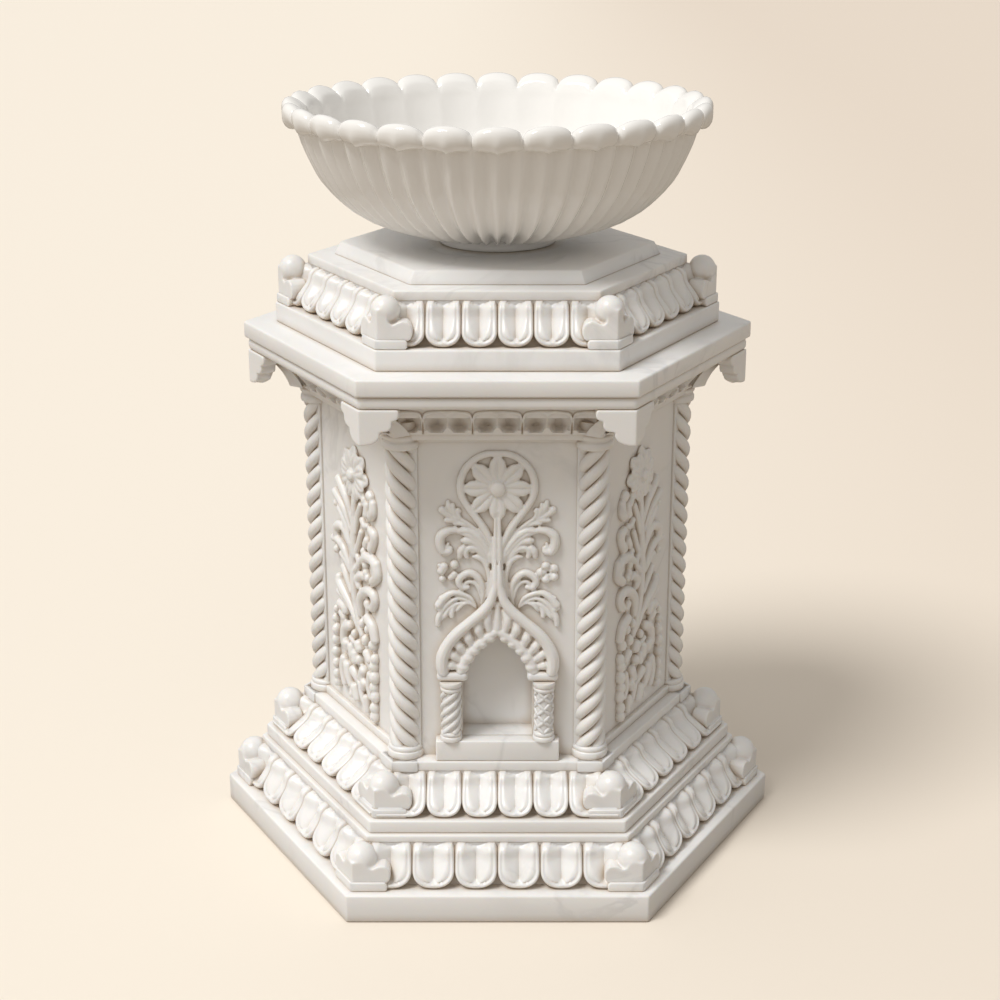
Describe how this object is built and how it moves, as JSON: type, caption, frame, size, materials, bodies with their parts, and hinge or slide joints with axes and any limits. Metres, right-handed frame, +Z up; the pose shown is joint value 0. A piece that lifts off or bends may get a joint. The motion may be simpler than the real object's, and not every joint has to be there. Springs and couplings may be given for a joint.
{
  "type": "tulsi vrindavan planter",
  "caption": "Carved white marble planter pedestal: stepped hexagonal plinths, rope columns, lamp niche and cornice carrying a lift-off fluted bowl for a sacred basil plant.",
  "frame": {"origin": "centre of the foot slab's underside, on the floor", "axes": "+Z up, the niche looks towards -Y, a corner of the hexagon lies on +X"},
  "size_m": [0.6, 0.5196, 0.776],
  "materials": {
    "marble": "honed and hand polished",
    "bowl_marble": "polished",
    "steel": "plain rod"
  },
  "bodies": {
    "pedestal": {"back_panel": "marble", "base_slab": "marble", "bracket_1": "marble", "bracket_2": "marble", "bracket_3": "marble", "bracket_4": "marble", "bracket_5": "marble", "bracket_6": "marble", "column_1": "marble", "column_2": "marble", "column_3": "marble", "column_4": "marble", "column_5": "marble", "column_6": "marble", "column_pins": "steel", "cornice_moulding": "marble", "cornice_slab": "marble", "frieze_course": "marble", "front_panel": "marble", "head_dowels": "steel", "left_back_panel": "marble", "left_front_panel": "marble", "lower_cap_plate": "marble", "lower_corner_block_1": "marble", "lower_corner_block_2": "marble", "lower_corner_block_3": "marble", "lower_corner_block_4": "marble", "lower_corner_block_5": "marble", "lower_corner_block_6": "marble", "lower_petal_course": "marble", "middle_cap_plate": "marble", "middle_corner_block_1": "marble", "middle_corner_block_2": "marble", "middle_corner_block_3": "marble", "middle_corner_block_4": "marble", "middle_corner_block_5": "marble", "middle_corner_block_6": "marble", "middle_petal_course": "marble", "middle_slab": "marble", "niche_arch": "marble", "niche_back": "marble", "niche_colonnette_left": "marble", "niche_colonnette_right": "marble", "niche_sill": "marble", "plinth_dowels": "steel", "right_back_panel": "marble", "right_front_panel": "marble", "top_plate": "marble", "upper_cap_plate": "marble", "upper_corner_block_1": "marble", "upper_corner_block_2": "marble", "upper_corner_block_3": "marble", "upper_corner_block_4": "marble", "upper_corner_block_5": "marble", "upper_corner_block_6": "marble", "upper_petal_course": "marble", "upper_slab": "marble"},
    "bowl": {"bowl": "bowl_marble"}
  },
  "joints": [
    {"name": "bowl_lift", "type": "slide", "parent": "pedestal", "child": "bowl", "axis": [0, 0, 1], "range_m": [0, 0.2]}
  ]
}
